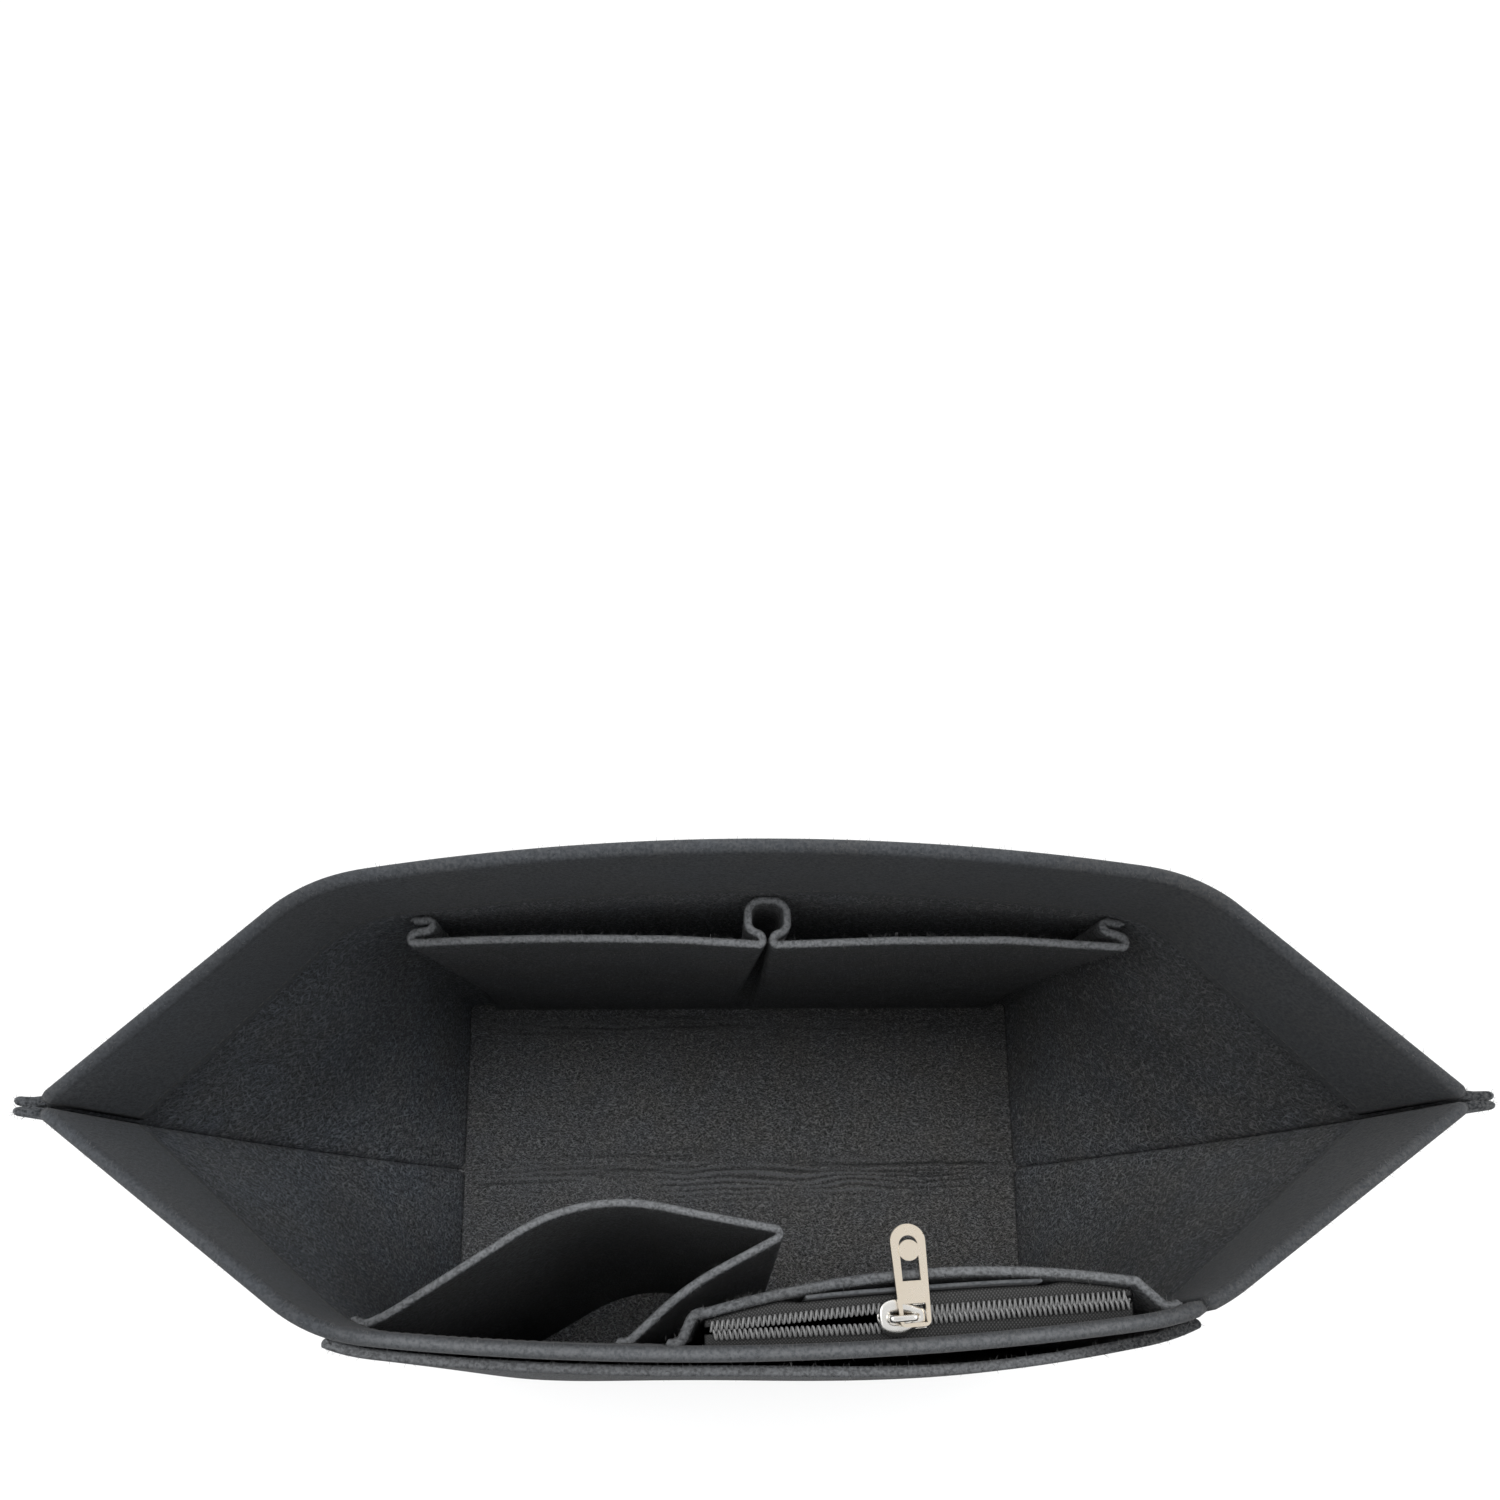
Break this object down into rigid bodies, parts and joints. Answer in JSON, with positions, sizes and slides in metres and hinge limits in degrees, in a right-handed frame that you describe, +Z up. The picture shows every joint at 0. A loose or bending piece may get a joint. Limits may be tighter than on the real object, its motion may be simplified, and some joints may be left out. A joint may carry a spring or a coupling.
{
  "type": "purse organizer insert",
  "caption": "Soft felt handbag insert with an open middle, a pleated pocket with a pen loop, an open pocket, a zip pocket with a sliding zip, and an outside pocket.",
  "frame": {"origin": "middle of the base's underside, on the surface that the insert stands on", "axes": "+X along the insert's length to the right as seen from the front, +Y from the front wall to the back wall, +Z up"},
  "size_m": [0.444, 0.1953, 0.2104],
  "materials": {
    "felt": "charcoal needle felt, brushed, with pale cut edges",
    "thin_felt": "thin charcoal needle felt",
    "zip_tape": "dark woven tape",
    "zip_coil": "dark moulded coil",
    "slider_metal": "pale nickel plate on a casting",
    "pull_metal": "champagne nickel plate"
  },
  "bodies": {
    "felt_body": {"base_panel": "felt", "back_panel": "felt", "front_panel": "felt", "back_rim_band": "thin_felt", "front_left_rim_band": "thin_felt", "front_right_rim_band": "thin_felt", "back_pocket": "felt", "open_pocket": "felt", "zip_pocket_panel": "felt", "zip_facing": "thin_felt", "zip_tape_wall_side": "zip_tape", "zip_tape_pocket_side": "zip_tape", "zip_coil_wall_side": "zip_coil", "zip_coil_pocket_side": "zip_coil", "outer_pocket": "felt"},
    "slider": {"zip_slider": "slider_metal"},
    "pull": {"pull_tab": "pull_metal"}
  },
  "joints": [
    {"name": "slider_slide", "type": "slide", "parent": "felt_body", "child": "slider", "axis": [0.9976, 0.0691, 0], "range_m": [-0.0405, 0.051], "deforming": ["zip_coil_wall_side", "zip_coil_pocket_side"]},
    {"name": "pull_swivel", "type": "hinge", "parent": "slider", "child": "pull", "pos_m": [0.04449, -0.06249, 0.2051], "axis": [0, 0, 1], "range_deg": [-75, 28]}
  ]
}
